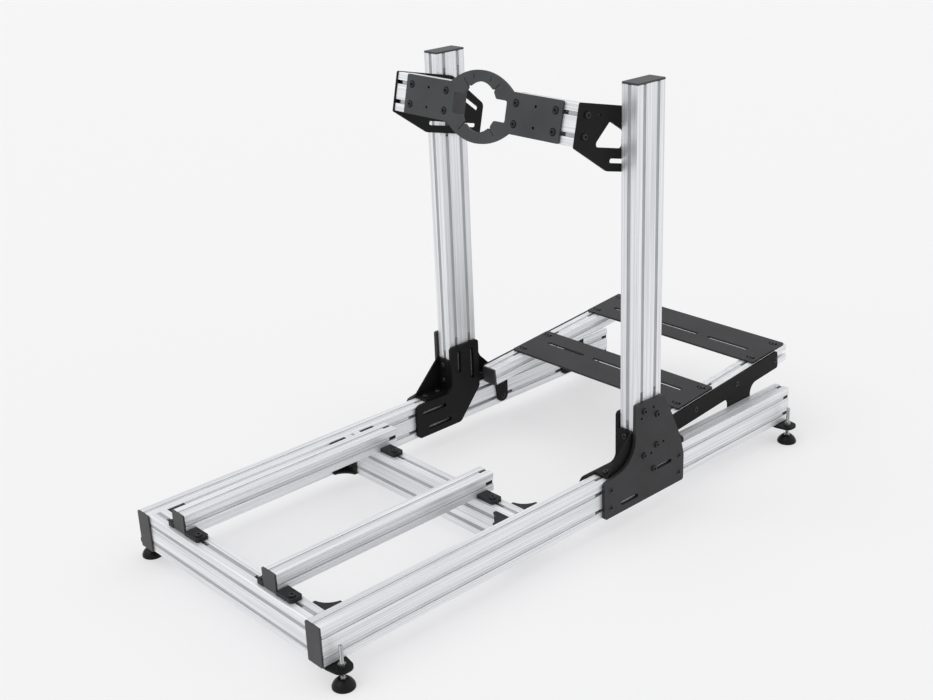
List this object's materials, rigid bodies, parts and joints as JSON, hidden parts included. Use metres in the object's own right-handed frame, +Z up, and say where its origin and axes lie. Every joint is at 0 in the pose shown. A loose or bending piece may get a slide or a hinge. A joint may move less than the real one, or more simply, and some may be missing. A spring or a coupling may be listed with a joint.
{
  "type": "sim racing cockpit",
  "caption": "Open racing simulator frame of slotted aluminium profile with a pedal deck, an upright wheel deck with a ring plate, seat rails and levelling feet.",
  "frame": {"origin": "on the floor, in the middle of the overall width and length", "axes": "+Z up; +Y from the pedal end to the seat end; +X to the side with the left side rail"},
  "size_m": [0.679, 1.4026, 0.9212],
  "materials": {
    "aluminium_profile": "clear anodised, satin",
    "black_steel": "black powder coat, satin",
    "black_plastic": "moulded, matt",
    "zinc_steel": "zinc plated",
    "foot_plastic": "moulded, matt"
  },
  "bodies": {
    "root": {"left_side_rail": "aluminium_profile", "right_side_rail": "aluminium_profile", "side_rail_end_caps": "black_plastic", "front_cross_bar": "aluminium_profile", "middle_cross_bar": "aluminium_profile", "corner_brackets": "black_plastic", "left_pedal_rail": "aluminium_profile", "right_pedal_rail": "aluminium_profile", "pedal_rail_end_caps": "black_plastic", "pedal_rail_clamps": "black_plastic", "left_upright": "aluminium_profile", "right_upright": "aluminium_profile", "upright_end_caps": "black_plastic", "left_upright_outer_plate": "black_steel", "right_upright_outer_plate": "black_steel", "left_upright_inner_plate": "black_steel", "right_upright_inner_plate": "black_steel", "upright_front_brackets": "black_steel", "upright_rear_brackets": "black_steel", "left_wheel_deck_plate": "black_steel", "right_wheel_deck_plate": "black_steel", "left_wheel_deck_profile": "aluminium_profile", "right_wheel_deck_profile": "aluminium_profile", "wheel_deck_end_caps": "black_plastic", "wheel_ring_plate": "black_steel", "left_seat_rail": "aluminium_profile", "right_seat_rail": "aluminium_profile", "seat_rail_end_caps": "black_plastic", "left_seat_side_plate": "black_steel", "right_seat_side_plate": "black_steel", "front_seat_cross_plate": "black_steel", "rear_seat_cross_plate": "black_steel", "foot_brackets": "black_steel", "foot_studs": "zinc_steel", "foot_nuts": "zinc_steel", "foot_pads": "foot_plastic"}
  },
  "joints": []
}
